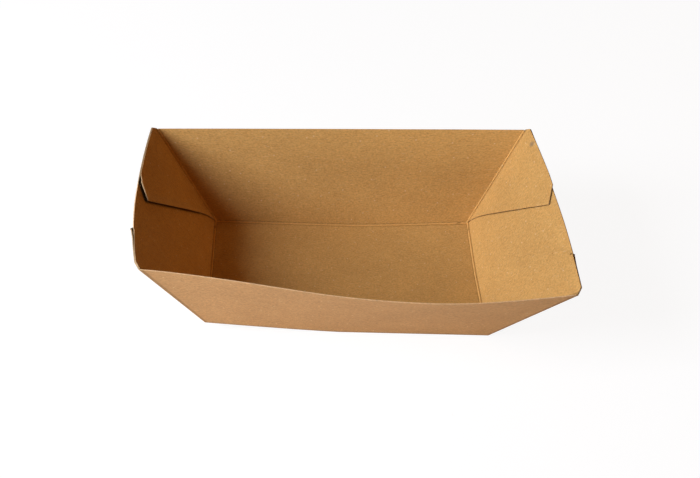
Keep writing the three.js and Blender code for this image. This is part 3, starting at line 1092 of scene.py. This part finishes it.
    def corner(self, end: Wall, long_wall: Wall, u: float, layer: float) -> Array:
        """Where three rounded folds meet at a base corner.

        Args:
            end: The end wall.
            long_wall: The long wall.
            u: 0 at the back corner, 1 at the front one.
            layer: Distance of the end wall's layer from its middle plane.

        Returns:
            The point.
        """
        low, inset = end.at(u, 0.0), SIZES.crease_inset
        return low + np.linalg.solve([DOWN, long_wall.outward, end.outward], [-inset, -inset, layer - inset])

    def add_base_fold(self, wall: Wall, start: Array, end: Array) -> None:
        """Adds the fold between the base and a wall.

        Args:
            wall: The wall.
            start: Corner point at u 0.
            end: Corner point at u 1.
        """
        both = DOWN + wall.outward
        shift = -both * SIZES.crease_inset / (1 + DOWN @ wall.outward)
        u = np.linspace(0, 1, int(wall.length / SIZES.cell))
        axis = wall.at(u, 0.0) + shift
        axis[0], axis[-1] = start, end
        self.mesh.add_bar(axis, both, wall.blank(u, 0 * u), None)

    def add_tab_fold(self, end: Wall, long_wall: Wall, u: float, layer: float, start: Array) -> None:
        """Adds the fold between a long wall and its tab.

        Args:
            end: The end wall the tab is glued to.
            long_wall: The long wall.
            u: 0 at the back corner, 1 at the front one.
            layer: Distance of the tab from the end wall's middle plane.
            start: Corner point at the base.
        """
        rim, inset = end.at(u, SIZES.long_share - SIZES.tab_shy / end.height), SIZES.crease_inset
        top = rim + np.linalg.solve([UP, long_wall.outward, end.outward], [0.0, -inset, layer - inset])
        t = np.linspace(0, 1, SIZES.fold_points)
        axis = start + (top - start) * t[:, None]
        self.mesh.add_bar(axis, long_wall.outward + end.outward, end.blank(u + 0 * t, t), UP)

    def build(self, finish: bpy.types.Material) -> bpy.types.Object:
        """Builds the whole board.

        Args:
            finish: The board's material.

        Returns:
            The piece.
        """
        layer = SIZES.tab_offset
        self.add_base()
        self.add_long_walls()
        corners = []
        left = (self.left, self.inner_left, self.outer_left)
        right = (self.right, self.inner_right, self.outer_right)
        for end, inner, outer in (left, right):
            self.add_end_wall(end, inner, outer)
            self.add_tab(end, inner)
            self.add_tab(end, outer)
            back = self.corner(end, self.back, 0.0, -layer)
            front = self.corner(end, self.front, 1.0, layer)
            self.add_tab_fold(end, self.back, 0.0, -layer, back)
            self.add_tab_fold(end, self.front, 1.0, layer, front)
            low = [self.corner(end, wall, u, 0.0) for wall, u in ((self.back, 0.0), (self.front, 1.0))]
            self.add_base_fold(end, *low)
            for u, point in ((0.0, back), (1.0, front)):
                self.mesh.add_ball(point, end.blank(np.array(u), np.array(0.0)))
            corners.append((back, front))
        self.add_base_fold(self.back, corners[0][0], corners[1][0])
        self.add_base_fold(self.front, corners[0][1], corners[1][1])
        return self.mesh.to_object("folded_board", finish)


@dataclass(frozen=True)
class PhotoCamera:
    """The photograph's view. Angles in degrees, offset and distance in millimetres."""

    focal_px: float = 1100.0
    width_px: int = 700
    pitch: float = 39.05
    yaw: float = 5.69
    roll: float = -5.31
    offset: tuple[float, float] = (-2.45, -18.08)
    distance: float = 537.0
    sensor_mm: float = 36.0

    def build(self) -> None:
        """Adds the camera and makes it the scene's."""
        data = bpy.data.cameras.new("photo_camera")
        data.sensor_width = self.sensor_mm
        data.lens = self.focal_px / self.width_px * self.sensor_mm
        camera = add_object("photo_camera", data)
        turn = Matrix.Identity(3)
        for angle, axis in ((self.roll, "Z"), (self.pitch - 90, "X"), (self.yaw, "Z")):
            turn = turn @ Matrix.Rotation(math.radians(angle), 3, axis)
        back = turn.transposed()
        place = -(back @ Vector((*self.offset, -self.distance))) * MM
        camera.matrix_world = Matrix.Translation(place) @ back.to_4x4()
        bpy.context.scene.camera = camera


@dataclass(frozen=True)
class SoftLight:
    """A square soft light that faces the tray. Place, size and aim in metres, power in watts."""

    name: str
    place: tuple[float, float, float]
    size: float
    power: float
    tone: str = WHITE
    aim: tuple[float, float, float] = (0.0, 0.0, 0.02)

    def build(self) -> None:
        """Adds the light."""
        data = bpy.data.lights.new(self.name, "AREA")
        data.shape = "SQUARE"
        data.size = self.size
        data.energy = self.power
        data.color = hex_to_linear(self.tone)[:3]
        light = add_object(self.name, data)
        light.location = self.place
        light.rotation_euler = (Vector(self.aim) - Vector(self.place)).to_track_quat("-Z", "Y").to_euler()


@dataclass(frozen=True)
class Studio:
    """White surroundings, a pale floor and the lights, in metres and watts."""

    lights: tuple[SoftLight, ...] = (
        SoftLight("window_left", (-0.80, -0.28, 0.50), 0.43, 10.7, "#F1F4FF"),
        SoftLight("warm_right", (0.8, 0.1, 0.45), 0.4, 0.6, "#FFA03F"),
        SoftLight("front_fill", (-0.1, -0.6, 0.06), 0.12, 1.05),
    )
    ambient: float = 0.07
    ambient_tone: str = "#FFA850"
    floor_size: float = 6.0
    floor_drop: float = 0.0002

    def build(self) -> None:
        """Adds the surroundings."""
        mesh = bpy.data.meshes.new("floor")
        h = self.floor_size / 2
        mesh.from_pydata([(-h, -h, 0), (h, -h, 0), (h, h, 0), (-h, h, 0)], [], [(0, 1, 2, 3)])
        mesh.materials.append(PaleFloor().build())
        floor = add_object("floor", mesh)
        floor.location.z = -self.floor_drop
        for light in self.lights:
            light.build()
        world = bpy.data.worlds.new("white_surroundings")
        bpy.context.scene.world = world
        graph = NodeGraph(world)
        ray = graph.background_rays()
        level = graph.add("ShaderNodeMapRange", {"Value": ray, "To Min": self.ambient, "To Max": 1.0})
        tone = graph.lay_over(self.ambient_tone, [(ray, WHITE)])
        around = graph.add("ShaderNodeBackground", {"Color": tone, "Strength": level})
        graph.add("ShaderNodeOutputWorld", {"Surface": around})


def main() -> None:
    """Builds the scene over the frame and notes the board's face count."""
    logging.basicConfig(level=logging.INFO, format="%(name)s: %(message)s")
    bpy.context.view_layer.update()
    tray = FoldedTray().build(KraftBoard().build())
    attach(tray, "root")
    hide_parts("tray")
    LOG.info("%s: %d faces", tray.name, len(tray.data.polygons))
    Studio().build()
    PhotoCamera().build()
    bpy.context.scene.view_settings.view_transform = "Standard"


if __name__ == "__main__":
    main()
